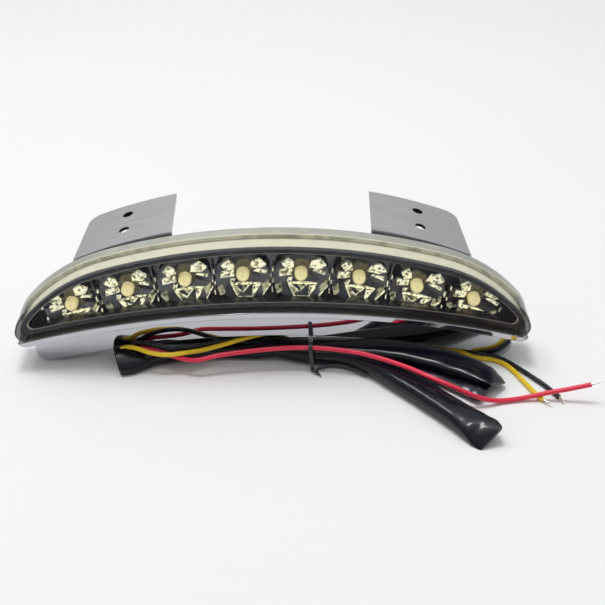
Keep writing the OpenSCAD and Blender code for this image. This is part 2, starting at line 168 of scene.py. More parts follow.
chrome = material("chrome", (0.54, 0.545, 0.58), 0.035, 1.0, spread=0.02, scale=120)
tray_silver = material("tray_silver", (0.63, 0.635, 0.575), 0.46, 1.0, spread=0.03, scale=160)
# One smoked plastic in two copies: a lighter one on the lens walls, painted light, and a near-black one on
# the window, painted shade.
smoked = material("smoked_lens", (0.30, 0.30, 0.26), 0.04, spread=0.1, scale=90, Alpha=0.13, IOR=1.5)
window_glass = material("smoked_window", (0.025, 0.025, 0.028), 0.03, spread=0.1, scale=90,
                        Alpha=0.12, IOR=1.5)
lens_end = material("smoked_lens_end", (0.03, 0.03, 0.038), 0.05, spread=0.1, scale=90, Alpha=0.8, IOR=1.5)
# The spigot's own cream, also used to paint light into the shaded gap behind the lens.
spigot_cream_and_painted_light = material("spigot_cream_and_painted_light", (0.97, 0.94, 0.74), 0.5, 0.0, spread=0.03, scale=200,
                        bump=0.05, bump_scale=400)
# The seal is lighter than its own colour: painted light in the shaded gap behind the lens.
sealant_painted_light = material("sealant_painted_light", (0.86, 0.84, 0.68), 0.5, spread=0.04, scale=500)
bezel_black = material("bezel_black", (0.022, 0.022, 0.032), 0.22, spread=0.15, bump=0.05, bump_scale=1500)
# The pale line on the bezel's inner edge is a painted highlight.
edge_painted_highlight = material("edge_painted_highlight", (0.46, 0.45, 0.36), 0.25, 0.5, spread=0.04)
# The bowls take a dark copy of the reflector's metal: painted shade.
bowl_painted_shade = material("bowl_painted_shade", (0.15, 0.15, 0.155), 0.18, 0.9, spread=0.25, scale=260)
# The reflector's facets are lit copies of one metal: a bright one and a dimmer one whose flecks glow, painted
# highlights on an unlit lamp.
facet_painted_highlight = material("facet_painted_highlight", (1.0, 0.98, 0.78), 0.26, 0.35, spread=0.05, scale=500)
facet_painted_dim_highlight = material("facet_painted_dim_highlight", (0.66, 0.63, 0.42), 0.22, 0.6, spread=0.2, scale=500)
painted_glint_slivers(facet_painted_highlight, (0.16, 0.15, 0.08), (1.0, 0.98, 0.72), 900, 0.75)
painted_glint_slivers(facet_painted_dim_highlight, (0.06, 0.06, 0.04), (0.75, 0.72, 0.46), 900, 0.25)
# The unlit LEDs glow as painted light. Their rings are a painted highlight and a painted darker rim, round a
# brownish middle for the phosphor.
led_dome = material("led_dome", (0.96, 0.90, 0.60), 0.22, spread=0.06, scale=260, Coat_Weight=0.5,
                    Emission_Strength=0.64)
painted_dome_light(led_dome, ((0, (0.72, 0.54, 0.22)), (0.08, (0.98, 0.86, 0.46)), (0.26, (1.0, 0.90, 0.46)),
                 (0.46, (0.78, 0.68, 0.32)), (0.64, (0.28, 0.23, 0.11))))
rubber = material("rubber", (0.018, 0.018, 0.022), 0.55, spread=0.2, bump=0.25, bump_scale=1800)
steel = material("bracket_steel", (0.64, 0.645, 0.655), 0.42, 1.0, spread=0.03, scale=60,
                 stretch=(1, 6, 1), rough_spread=0.06)
bore_shade = material("bore_shade", (0.012, 0.012, 0.016), 0.6, spread=0.2)
zinc = material("zinc_steel", (0.66, 0.66, 0.68), 0.3, 1.0, spread=0.08, scale=500)
board = material("board_green", (0.03, 0.16, 0.08), 0.35, spread=0.12, scale=700)
component = material("component_black", (0.02, 0.02, 0.02), 0.5, spread=0.2)
solder = material("solder", (0.72, 0.72, 0.70), 0.28, 1.0, spread=0.08, scale=900, bump=0.2, bump_scale=2500)
vinyl = material("sleeve_vinyl", (0.006, 0.006, 0.012), 0.22, spread=0.2, scale=90, bump=0.015,
                 bump_scale=160, rough_spread=0.15, Specular_IOR_Level=0.18, Coat_Weight=0.28,
                 Coat_Roughness=0.07)
tie_plastic = material("tie_plastic", (0.03, 0.03, 0.04), 0.25, spread=0.2, bump=0.1)
wire_red = material("wire_red", (0.80, 0.025, 0.075), 0.32, spread=0.06, scale=400, bump=0.04)
wire_yellow = material("wire_yellow", (0.86, 0.60, 0.015), 0.32, spread=0.06, scale=400, bump=0.04)
wire_black = material("wire_black", (0.010, 0.010, 0.014), 0.28, spread=0.2, scale=400, bump=0.04)


# ---- Mesh helpers -----------------------------------------------------------------------

def add_piece(name, bm, materials, replaced=(), smooth=35, weighted=False):
    bmesh.ops.recalc_face_normals(bm, faces=bm.faces)
    mesh = bpy.data.meshes.new(name)
    bm.to_mesh(mesh)
    bm.free()
    for m in materials:
        mesh.materials.append(m)
    mesh.shade_smooth()
    mesh.set_sharp_from_angle(angle=math.radians(smooth))
    obj = bpy.data.objects.new(name, mesh)
    scene.collection.objects.link(obj)
    if weighted:
        modifier = obj.modifiers.new("flat_faces", "WEIGHTED_NORMAL")
        modifier.keep_sharp = True
    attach(obj, "root")
    if replaced:
        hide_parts(*replaced)
    return obj


def at_depth(outline, y):
    """An outline in x and z, placed at a depth behind the lens face."""
    return [(x * MM, (FRONT_Y + y) * MM, z * MM) for x, z in outline]


def loft(bm, rings, closed=False, caps=(True, True), mats=None):
    """Skins equal rings of points. mats gives each band's material index, and the caps' too, or None."""
    rows = [[bm.verts.new(p) for p in ring] for ring in rings]
    n = len(rows[0])
    bands = list(zip(rows, rows[1:] + ([rows[0]] if closed else [])))
    for b, (low, high) in enumerate(bands):
        for i in range(n):
            j = (i + 1) % n
            face = bm.faces.new((low[i], low[j], high[j], high[i]))
            if mats:
                face.material_index = mats[b]
    if not closed:
        for row, wanted, band in ((rows[0], caps[0], 0), (rows[-1], caps[1], -1)):
            if wanted:
                bm.faces.new(row).material_index = mats[band] if mats else 0
    return rows


def refined(node, mats, width=0.25, smooth=35):
    """A copy of a CAD node with its sharp edges rounded."""
    bm = bmesh.new()
    bm.from_mesh(nodes[node].data)
    bmesh.ops.remove_doubles(bm, verts=bm.verts, dist=2e-6)
    bmesh.ops.dissolve_limit(bm, angle_limit=math.radians(0.2), verts=bm.verts, edges=bm.edges)
    sharp = [e for e in bm.edges if len(e.link_faces) == 2 and e.calc_face_angle(0) > math.radians(40)]
    bmesh.ops.bevel(bm, geom=sharp, offset=width * MM, segments=2, profile=0.6, affect="EDGES",
                    clamp_overlap=True)
    return add_piece(node + "_finished", bm, mats, (node,), smooth, weighted=True)


# ---- The lamp's outlines, as in its CAD source --------------------------------------------

def polar(c, r, a):
    """A point round c, with its angle counted from straight up towards +X."""
    return (c[0] + r * math.sin(math.radians(a)), c[1] + r * math.cos(math.radians(a)))


def arc(c, r, start, end, steps):
    return [polar(c, r, start + (end - start) * i / steps) for i in range(steps)]


def bearing(p, q):
    return math.degrees(math.atan2(q[0] - p[0], q[1] - p[1]))


def meet(c0, r0, c1, r1):
    """Where two circles cross, on the left of the way from c0 to c1."""
    dx, dy = c1[0] - c0[0], c1[1] - c0[1]
    d = math.hypot(dx, dy)
    ux, uy = dx / d, dy / d
    a = (r0 * r0 - r1 * r1 + d * d) / (2 * d)
    h = math.sqrt(r0 * r0 - a * a)
    return (c0[0] + a * ux - h * uy, c0[1] + a * uy + h * ux)


def both_halves(right):
    return right + [(-x, z) for x, z in reversed(right[1:-1])]


CROWN_R, CROWN_A, SHOULDER_R, SHOULDER_A, CHEEK_R, TIP_R = 285.0, 16.0, 76.0, 50.0, 18.0, 4.5
BELLY_R, LIP_R, SKIRT_R, FOOT_R = 467.0, 463.9, 450.4, 6.3
CROWN_C = (0.0, 64.0 - CROWN_R)
SHOULDER_C = polar(CROWN_C, CROWN_R - SHOULDER_R, CROWN_A)
CHEEK_C = polar(SHOULDER_C, SHOULDER_R - CHEEK_R, SHOULDER_A)
BELLY_C = (0.0, 29.2 - BELLY_R)
FOOT_C = (math.sqrt((SKIRT_R + FOOT_R) ** 2 - (FOOT_R - BELLY_C[1]) ** 2), FOOT_R)


def crescent(inset, belly=BELLY_R, tip=None):
    t = max(TIP_R - inset, 1.0) if tip is None else tip
    c = meet(CHEEK_C, CHEEK_R - inset - t, BELLY_C, belly + inset + t)
    return both_halves(
        arc(CROWN_C, CROWN_R - inset, 0, CROWN_A, 24)
        + arc(SHOULDER_C, SHOULDER_R - inset, CROWN_A, SHOULDER_A, 18)
        + arc(CHEEK_C, CHEEK_R - inset, SHOULDER_A, bearing(CHEEK_C, c), 10)
        + arc(c, t, bearing(CHEEK_C, c), bearing(c, BELLY_C) + 360, 12)
        + arc(BELLY_C, belly + inset, bearing(BELLY_C, c), 0, 40)
        + [(0.0, BELLY_C[1] + belly + inset)]
    )


def lip_outline(inset):
    top, low, t = BELLY_R - 0.1 - inset, LIP_R + inset, TIP_R - inset
    c = meet(CHEEK_C, CHEEK_R - inset - t, BELLY_C, low + t)
    corner = meet(c, t, BELLY_C, top)
    return both_halves(
        arc(BELLY_C, top, 0, bearing(BELLY_C, corner), 40)
        + arc(c, t, bearing(c, corner), bearing(c, BELLY_C) + 360, 12)
        + arc(BELLY_C, low, bearing(BELLY_C, c), 0, 40)
        + [(0.0, BELLY_C[1] + low)]
    )


def skirt_outline(inset, top_r):
    top_a = math.degrees(math.asin((FOOT_C[0] + FOOT_R - inset) / top_r))
    return both_halves(
        arc(BELLY_C, top_r, 0, top_a, 40)
        + [polar(BELLY_C, top_r, top_a)]
        + arc(FOOT_C, FOOT_R - inset, 90, bearing(FOOT_C, BELLY_C) + 360, 12)
        + arc(BELLY_C, SKIRT_R + inset, bearing(BELLY_C, FOOT_C), 0, 40)
        + [(0.0, BELLY_C[1] + SKIRT_R + inset)]
    )


def rounded(radius, steps=4):
    """Insets and depths of a rounded edge, from the flat to the side."""
    turns = [math.radians(90 * i / steps) for i in range(steps + 1)]
    return [(radius * (1 - math.sin(a)), radius * (1 - math.cos(a))) for a in turns]


# ---- Cables -----------------------------------------------------------------------------

def smooth_path(points, spacing):
    """A centripetal curve through the points, at about the given spacing."""
    p = [Vector(q) for q in points]
    p = [2 * p[0] - p[1]] + p + [2 * p[-1] - p[-2]]
    out = []
    for a, b, c, d in zip(p, p[1:], p[2:], p[3:]):
        steps = max(1, round((c - b).length / spacing))
        t1 = max((b - a).length, 1e-6) ** 0.5
        t2 = t1 + max((c - b).length, 1e-6) ** 0.5
        t3 = t2 + max((d - c).length, 1e-6) ** 0.5
        for i in range(steps):
            t = t1 + (t2 - t1) * i / steps
            ab = a * ((t1 - t) / t1) + b * (t / t1)
            bc = b * ((t2 - t) / (t2 - t1)) + c * ((t - t1) / (t2 - t1))
            cd = c * ((t3 - t) / (t3 - t2)) + d * ((t - t2) / (t3 - t2))
            abc = ab * ((t2 - t) / t2) + bc * (t / t2)
            bcd = bc * ((t3 - t) / (t3 - t1)) + cd * ((t - t1) / (t3 - t1))
            out.append(abc * ((t2 - t) / (t2 - t1)) + bcd * ((t - t1) / (t2 - t1)))
    return out + [p[-2]]


def directions(path):
    """Tangent, side and up at each point, turned as little as possible along the way."""
    side = Vector((1, 0, 0))
    out = []
    for i in range(len(path)):
        t = (path[min(i + 1, len(path) - 1)] - path[max(i - 1, 0)]).normalized()
        side = (side - t * side.dot(t)).normalized()
        out.append((t, side, t.cross(side)))
    return out


def place(p):
    return Vector((p[0] * MM, (FRONT_Y + p[1]) * MM, p[2] * MM))


def beside(axis, lateral, z):
    """Points beside an axis in plan, to the left of its way by lateral, at the heights z."""
    out = []
    for i, (x, y) in enumerate(axis):
        a, b = axis[max(i - 1, 0)], axis[min(i + 1, len(axis) - 1)]
        n = math.hypot(b[0] - a[0], b[1] - a[1])
        out.append((x - (b[1] - a[1]) / n * lateral, y + (b[0] - a[0]) / n * lateral, z[i]))
    return out


def half_turn(start, end, ahead):
    """The points between start and end on a half circle that bulges ahead."""
    a, b = Vector(start), Vector(end)
    h = Vector(ahead).normalized() * ((b - a).length / 2)
    return [tuple((a + b) / 2 + (a - b) / 2 * math.cos(w) + h * math.sin(w))
            for w in [math.radians(d) for d in (30, 60, 90, 120, 150)]]


# The wires' common way inside the sleeve: down from the grommet, out along the front lobe and
# back, round under the lamp, out along the rear lobe and back, and along to the mouth.
lead = [
    (0, 24, 42), (0, 30, 42), (0, 36, 41.8), (-0.2, 41.5, 40.6), (-1, 47, 38.5), (-2.4, 50.5, 35.5),
    (-4, 52.5, 33), (-8, 55.5, 26), (-13, 56.5, 19), (-19.5, 55, 12.5), (-27, 50.5, 7.5), (-33, 44, 5.7),
    (-36.5, 36.5, 5.5), (-34, 29, 5.5), (-27.2, 22.3, 5.2), (-18, 19.5, 4.6), (-8, 16, 4), (4, 10, 3.8),
]
front_axis = [(18, 5), (29, 4.2), (38, 1.4), (49, -7.2), (58, -17.6), (66.5, -27.5), (74, -36.6), (80, -43.8)]
front_out = beside(front_axis, -3.1, [3.9, 4, 4.2, 4.3, 4.3, 4.3, 4.3, 4.3])
front_back = beside(front_axis, 3.1, [4.6, 4.5, 4.4, 4.4, 4.4, 4.4, 4.4, 4.4])[::-1]
front_turn = half_turn(front_out[-1], front_back[0], (0.64, -0.77, 0))
home = [(6, 7.8, 4.6), (-3, 8.4, 4.4)]
under_turn = [(-9.2, 9.6, 4.4), (-12.2, 12.6, 4.2), (-10.4, 15.8, 3.8), (-5.5, 16.2, 3.4)]
rear_out = [(4, 13, 3.0), (18, 6.6, 2.9)] + beside(
    [(34, 4.2), (48, 0.4), (61, -4.5), (72, -9.6), (79, -13)], 0, [2.9] * 5)
rear_back = beside([(78, -6.6), (70, -3.2), (61, -0.4), (46, 3), (32, 5.4), (18, 7.4)], 0, [7.2] * 5 + [6.4])
rear_turn = half_turn(rear_out[-1], rear_back[0], (0.9, -0.42, 0))
left_run = [
    (4, 10.2, 4.6), (-10, 10.6, 3.5), (-25, 10.8, 3.4), (-40, 10.2, 3.4), (-50, 8.4, 3.5), (-57, 5.4, 3.8),
    (-63, 1.6, 4),
]
inside = (lead + front_out + front_turn + front_back + home + under_turn
          + rear_out + rear_turn + rear_back + left_run)


def in_mouth(x, across, above):
    """A point in the sleeve's leaning mouth, from its middle line."""
    return (x, -0.6 + 0.883 * across - 0.469 * above, 4.9 + 0.469 * across + 0.883 * above)


def mouth_turn(above):
    """Half a turn in the plane of the mouth, from its lower to its upper half."""
    return [in_mouth(-69 - 3.6 * math.sin(math.radians(a)), 2.2 - 3.6 * math.cos(math.radians(a)), above)
            for a in (0, 30, 60, 90, 120, 150, 180)]


red_free = [
    *mouth_turn(0), (-64.6, 3.6, 8.8), (-58, 2, 9.2), (-50, -0.6, 8.4), (-43, -3.6, 7.6), (-36, -6.2, 8.3),
    (-25, -4.4, 9.7), (-11, -2.8, 10.7), (4, -2, 11.6), (18, -2.5, 12), (31, -4.6, 12), (41, -7.6, 11.9),
    (51, -12.6, 11.8),
    (61, -19, 11.7), (71, -26.5, 11.2), (80, -31, 9.4), (88, -33, 6.4), (95.5, -33, 3.4), (102.5, -31.5, 1.6),
    (109, -30.3, 1.4), (116, -29.5, 2.2), (124, -29.2, 4), (133, -29.6, 6.2), (142.5, -30.3, 9),
]
yellow_free = [
    *mouth_turn(2.2), (-64.6, 1, 10.8), (-58, -2.6, 10.6), (-50, -4.3, 10.2), (-42, -3, 10.2), (-34, 0, 9.6),
    (-24, 4.5, 9.6), (-15, 8.8, 9.9), (-5, 12.4, 10.3), (6, 14.6, 10.3), (16, 15.8, 8.8), (26, 16, 6.2),
    (37, 16.4, 3.4), (48, 17, 1.5), (60, 18, 1.15), (72, 17.8, 1.15), (81, 15.4, 1.15), (87.6, 11.2, 1.15),
    (91.6, 7, 1.15), (96, 4, 1.15), (103.4, 2, 1.15), (108, -1.2, 1.15), (111.6, -7, 1.15),
    (115, -15.6, 1.15), (118, -23.4, 1.15), (121.4, -31, 1.2),
]
black_free = [
    *mouth_turn(-2.2), (-65, 6.2, 9.8), (-58, 2.6, 11.8), (-50, -0.2, 12.2), (-42, -0.2, 12), (-34, 2.4, 11),
    (-24, 7.2, 10.1), (-15, 11.6, 10), (-5, 15.2, 10.3), (6, 17.4, 10), (16, 18.6, 7.9), (27, 18.8, 4.6),
    (38, 19.2, 2), (50, 20, 1.15), (62, 20.8, 1.15), (74, 20.4, 1.15), (83.6, 17.8, 1.15), (90, 12, 1.15),
    (94, 8.3, 1.15), (97.6, 6, 1.15), (104.3, 4.8, 1.15), (109.2, 1.2, 1.15), (114, -4.6, 1.15),
    (119, -11.6, 1.15), (124, -19, 1.15), (129, -28.6, 1.2),
]
WIRE_D = 2.2
BUNDLE_R = 1.3
core = smooth_path(inside, 2.5)
turning = directions(core)


def add_wire(name, free, angle, mat, node):
    """One wire as a curve: its place in the bundle inside the sleeve, and then its own free route."""
    a = math.radians(angle)
    run = []
    for p, (t, side, up) in zip(core, turning):
        q = p + side * (BUNDLE_R * math.cos(a)) + up * (BUNDLE_R * math.sin(a))
        run.append(Vector((q.x, q.y, max(q.z, WIRE_D / 2 + 0.4))))
    points = smooth_path([*run, *free], 1.2)
    data = bpy.data.curves.new(name, "CURVE")
    data.dimensions = "3D"
    data.bevel_depth = WIRE_D / 2 * MM
    data.bevel_resolution = 4
    data.use_fill_caps = True
    spline = data.splines.new("POLY")
    spline.points.add(len(points) - 1)
    for s, p in zip(spline.points, points):
        s.co = (*place(p), 1)
    spline.use_smooth = True
    data.materials.append(mat)
    obj = bpy.data.objects.new(name, data)
    scene.collection.objects.link(obj)
    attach(obj, "root")
    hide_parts(node)
    print(name, "length", round(sum((b - a).length for a, b in zip(points, points[1:])), 1))
    return obj, points


red, red_path = add_wire("red_wire", red_free, 210, wire_red, "wire_red")
yellow, yellow_path = add_wire("yellow_wire", yellow_free, 90, wire_yellow,
                               "wire_yellow")
black, black_path = add_wire("black_wire", black_free, 330, wire_black, "wire_black")


def add_tip(name, path, bend, replaced=()):
    """The tinned strands at a wire's bare end: a few thin rods twisted together, slightly bent."""
    end, ahead = path[-1], (path[-1] - path[-4]).normalized()
    side = ahead.cross(Vector((0, 0, 1))).normalized()
    up = side.cross(ahead)
    bm = bmesh.new()
    for k in range(5):
        rings = []
        for i in range(12):
            s = i / 11
            a = math.radians(72 * k + 200 * s)
            swirl = 0.34 * (1 - 0.35 * s) * (side * math.cos(a) + up * math.sin(a))
            centre = end + ahead * (5 * s - 0.8) + (side * bend[0] + up * bend[1]) * s * s + swirl
            centre.z = max(centre.z, 0.7)
            r = 0.24 * (1 - 0.25 * s)
            rings.append([
                place(centre + side * (r * math.cos(b)) + up * (r * math.sin(b)))
                for b in [2 * math.pi * j / 8 for j in range(8)]
            ])
        loft(bm, rings)
    return add_piece(name, bm, [solder], replaced)


tips = [
    add_tip("red_wire_tip", red_path, (-0.2, 0.7), ("wire_tips",)),
    add_tip("yellow_wire_tip", yellow_path, (-1.4, 0.6)),
    add_tip("black_wire_tip", black_path, (0.9, -0.2)),
]


# ---- The vinyl sleeve -------------------------------------------------------------------

SLEEVE_WALL = 0.55


def section(centre, side, up, w, h, power, notch, lean, steps=40):
    """A flattened ring across the sleeve. notch pulls in its flanks, where two layers meet, and
    lean draws one flank back along the sleeve and pushes the other one on."""
    out = []
    for i in range(steps):
        a = 2 * math.pi * i / steps
        c, s = math.cos(a), math.sin(a)
        x = math.copysign(abs(c) ** (2 / power), c) * w / 2
        y = math.copysign(abs(s) ** (2 / power), s) * h / 2
        x *= 1 - notch * math.exp(-((y / (0.16 * h)) ** 2))
        p = centre + (side + lean) * x + up * y
        out.append(Vector((p.x, p.y, max(p.z, 0.06))))
    return out


def sleeve(name, stations, replaced=(), mouth=0, seed=1):
    """A lofted run of sleeve. A station is a point, a width, a height, a roll and a notch.
    With a mouth the far end stays open, with an inner wall that goes in that far."""
    rng = random.Random(seed)
    centres = smooth_path([s[0] for s in stations], 1.6)
    dense = []
    total = [0.0]
    for a, b in zip(centres, centres[1:]):
        total.append(total[-1] + (b - a).length)
    marks = []
    for s in stations:
        marks.append(total[min(range(len(centres)), key=lambda i: (centres[i] - Vector(s[0])).length)])
    waves = [(rng.uniform(7, 22), rng.uniform(0, 6.3), rng.uniform(0.004, 0.011)) for _ in range(4)]
    for i, c in enumerate(centres):
        d = total[i]
        k = max(j for j in range(len(marks)) if marks[j] <= d + 1e-6)
        k = min(k, len(marks) - 2)
        u = (d - marks[k]) / max(marks[k + 1] - marks[k], 1e-6)
        u = u * u * (3 - 2 * u)
        w, h, roll, notch = [stations[k][j] * (1 - u) + stations[k + 1][j] * u for j in range(1, 5)]
        ripple = sum(amp * math.sin(2 * math.pi * d / length + phase) for length, phase, amp in waves)
        t = (centres[min(i + 1, len(centres) - 1)] - centres[max(i - 1, 0)]).normalized()
        across = Vector((0, 0, 1)).cross(t)
        across = across.normalized() if across.length > 0.05 else Vector((1, 0, 0))
        turn = Matrix.Rotation(math.radians(roll), 3, t)
        near_end = max(0.0, 1 - (total[-1] - d) / 9) if mouth else 0.0
        dense.append((c, turn @ across, turn @ t.cross(across), w * (1 + ripple), h * (1 - ripple), notch,
                      t * (-0.2 * near_end * near_end)))
    bm = bmesh.new()
    rings = [section(c, a, u, w, h, 2.5, notch, lean) for c, a, u, w, h, notch, lean in dense]
    if mouth:
        inner = [section(c, a, u, w - 2 * SLEEVE_WALL, h - 2 * SLEEVE_WALL, 2.5, notch, lean)
                 for c, a, u, w, h, notch, lean in dense]
        keep = [i for i in range(len(total)) if total[i] >= total[-1] - mouth]
        rings += [inner[i] for i in reversed(keep)]
    loft(bm, [[place(p) for p in ring] for ring in rings])
    return add_piece(name, bm, [vinyl], replaced, smooth=60)


def round_sleeve(name, points, d, replaced):
    path = smooth_path(points, 1.6)
    bm = bmesh.new()
    rings = [
        [place(p + side * (d / 2 * math.cos(b)) + up * (d / 2 * math.sin(b)))
         for b in [2 * math.pi * j / 32 for j in range(32)]]
        for p, (t, side, up) in zip(path, directions(path))
    ]
    loft(bm, rings)
    return add_piece(name, bm, [vinyl], replaced, smooth=60)


sleeve_lead = round_sleeve("sleeve_down_lead", [
    (0, 26.5, 42), (0, 33, 42), (0, 40, 41), (-1, 47, 38.5), (-4, 52.5, 33), (-8, 55.5, 26), (-13, 56.5, 19),
    (-19.5, 55, 12.5), (-27, 50.5, 7.5), (-33, 44, 5.8), (-36.5, 36.5, 5.6), (-34, 29, 5.6),
    (-27.2, 22.3, 5.6), (-18, 19.5, 5.6)], 10.9, ("sleeve_lead",))
front_lobe = sleeve("sleeve_front_lobe", [
    ((-18, 19.5, 5.0), 11, 9.4, 0, 0), ((-8, 16, 4.6), 12.5, 8.6, 0, 0), ((4, 10.2, 4.5), 13, 8.6, 0, 0),
    ((18, 5, 4.4), 12, 8.6, 0, 0), ((29, 4.2, 4.4), 12.2, 8.6, 0, 0), ((38, 1.4, 4.4), 12.4, 8.6, 0, 0),
    ((49, -7.2, 4.5), 12.8, 8.8, 0, 0), ((58, -17.6, 4.5), 12.8, 8.8, 0, 0),
    ((66.5, -27.5, 4.5), 12.8, 8.8, 0, 0),
    ((74, -36.6, 4.5), 13, 8.8, 0, 0), ((81, -45, 4.5), 13.6, 8.6, 0, 0),
    ((87.6, -53.2, 4.4), 15, 7.4, 10, 0),
    ((91.2, -58.4, 4.3), 15.6, 4.6, 26, 0), ((93, -61.6, 4.2), 14.6, 2.2, 35, 0),
    ((93.6, -62.8, 4.2), 13, 1.2, 37, 0)], ("sleeve_hank",), seed=3)
rear_lower = sleeve("sleeve_rear_lobe_lower", [
    ((-13.5, 14, 4), 9, 5, 0, 0), ((-9, 14.5, 4), 12, 7, 0, 0), ((4, 12, 3.4), 12, 6.2, 0, 0),
    ((18, 6, 3), 12.5, 5.6, 0, 0),
    ((34, 4.2, 2.9), 12.8, 5.5, 0, 0), ((48, 0.4, 2.9), 12.6, 5.5, 0, 0), ((61, -4.5, 2.9), 12.4, 5.5, 0, 0),
    ((72, -9.8, 2.9), 12.4, 5.5, 0, 0), ((79.5, -13.8, 2.9), 12.6, 5.5, 0, 0),
    ((88, -20.6, 3.1), 13.4, 5.4, 4, 0),
    ((93.4, -26, 3.6), 13, 4, 12, 0), ((96, -28.6, 4), 11.6, 1.5, 16, 0)], seed=5)
rear_upper = sleeve("sleeve_rear_lobe_upper", [
    ((101.8, -23.6, 5.4), 13, 1.4, 24, 0), ((100, -21.6, 5.7), 15, 3.2, 20, 0),
    ((96, -18, 6.4), 16.6, 5.2, 10, 0),
    ((89, -13.4, 7.1), 16.2, 6.2, 4, 0), ((76, -6.4, 7.4), 15.2, 6.8, 0, 0),
    ((61, -0.2, 7.5), 14.4, 6.9, 0, 0),
    ((46, 3.0, 7.5), 13.8, 6.9, 0, 0), ((32, 5.4, 7.3), 13, 6.4, 0, 0), ((18, 7.4, 6.6), 12, 6.2, 0, 0),
    ((4, 9.6, 4.9), 12.4, 6.8, 0, 0), ((-10, 10.5, 3.5), 13, 6.8, 0, 0), ((-22, 10.9, 3.7), 12.6, 7.3, 0, 0),
    ((-31, 10, 4.5), 12, 8.9, 0, 0), ((-40, 8.6, 4.9), 11.6, 9.6, 0, 0), ((-50, 6.6, 4.8), 11.4, 9.3, 0, 0),
    ((-57, 5.4, 4.2), 12.4, 8.2, -5, 0),
    ((-63, 2.6, 4.3), 13.8, 7.6, -16, 0), ((-68, 0.4, 4.7), 15, 7.8, -25, 0),
    ((-73.4, -0.6, 4.9), 15.6, 7.8, -28, 0)], mouth=16, seed=8)


def band(bm, points, width, thick, wide_axis):
    """A flat band along the points."""
    path = smooth_path(points, 0.7)
    rings = []
    for p, (t, _, _) in zip(path, directions(path)):
        wide = (wide_axis - t * wide_axis.dot(t)).normalized()
        thin = t.cross(wide)
        ring = []
        for i in range(12):
            a = 2 * math.pi * i / 12
            c, s = math.cos(a), math.sin(a)
            q = (p + wide * (math.copysign(abs(c) ** 0.6, c) * width / 2)
                 + thin * (math.copysign(abs(s) ** 0.8, s) * thick / 2))
            ring.append(place(Vector((q.x, q.y, max(q.z, 0.02)))))
        rings.append(ring)
    loft(bm, rings)


def add_tie():
    """A flat plastic-coated wire round the bundle, twisted at the front, with two flat tails."""
    bm = bmesh.new()
    loop = [(18.2, -5.3, 2.2), (18.0, -5.4, 6), (17.6, -5.2, 10), (17.4, -4.0, 13.1), (17.4, -1.6, 13.9),
            (17.5, 2, 12.6), (17.6, 7, 11.2), (17.8, 11.4, 9.6), (18, 13.4, 6.4), (18.2, 13, 2.2),
            (18.2, 10.5, 0.5), (18.2, 4, 0.45), (18.2, -2.5, 0.45), (18.4, -5.2, 0.9)]
    band(bm, loop, 1.9, 0.8, Vector((1, 0, 0)))
    for k in range(2):
        knot = []
        for i in range(14):
            s = i / 13
            a = math.pi * k + 5.2 * s
            knot.append((18.2 + 2.8 * s + 0.5 * math.cos(a), -5.4 - 2.6 * s,
                         max(0.5, 1.9 - 0.5 * s + 0.5 * math.sin(a))))
        band(bm, knot, 0.9, 0.7, Vector((0, 0, 1)))
    band(bm, [(20.6, -7.6, 1.4), (21.6, -8.6, 0.9), (21.8, -9.6, 0.6)], 0.9, 0.5, Vector((0, 0, 1)))
    band(bm, [(20, -5.4, 1.8), (24, -3.6, 2), (29, -3.2, 2.1), (35, -4.9, 2), (43, -11, 1.8)], 2, 0.5,
         Vector((0, 0, 1)))
    return add_piece("twist_tie_band", bm, [tie_plastic], ("twist_tie",), smooth=50)


tie = add_tie()
grommet = refined("cable_grommet", [rubber], 0.5, 50)


# ---- Housing ----------------------------------------------------------------------------

BACK_Y = 20.0
LIP_FRONT_Y = 0.8
SKIRT_FRONT_Y = 7.0
LENS_BACK_Y = 12.9
LENS_WALL = 2.2
LENS_END_X = 114.5


def add_housing():
    """Four lofts in one piece: tray with a cream front ring and inner wall painted as light in the shaded gap
    behind the lens, spigot, lip under the lens, and skirt.
    """
    bm = bmesh.new()
    # The tray's front ring and inner wall take the spigot's cream: painted light in the shaded gap behind the
    # lens.
    loft(bm, [at_depth(crescent(i, LIP_R), BACK_Y - y) for i, y in rounded(1.2)]
         + [at_depth(crescent(0, LIP_R), 13.65), at_depth(crescent(0.1, LIP_R), 13.55),
            at_depth(crescent(2.2, LIP_R), 13.55), at_depth(crescent(2.2, LIP_R), 18)], mats=[0] * 6 + [2, 2])
    loft(bm, [at_depth(crescent(2.5), 5.4), at_depth(crescent(2.5), 13.7),
              at_depth(crescent(4.0), 13.7), at_depth(crescent(4.0), 5.4)], closed=True, mats=[2, 2, 2, 2])
    loft(bm, [at_depth(lip_outline(i), LIP_FRONT_Y + y) for i, y in rounded(0.5)]
         + [at_depth(lip_outline(0), 13.8)], mats=[1] * 5)
    top_r = LIP_R + 1.5
    loft(bm, [at_depth(skirt_outline(i, top_r), SKIRT_FRONT_Y + y) for i, y in rounded(0.6)]
         + [at_depth(skirt_outline(0, top_r), 19.4), at_depth(skirt_outline(0.6, top_r), BACK_Y)],
         mats=[1] * 6)
    add_piece("housing_shell", bm, [tray_silver, chrome, spigot_cream_and_painted_light], ("housing",),
              smooth=40, weighted=True)


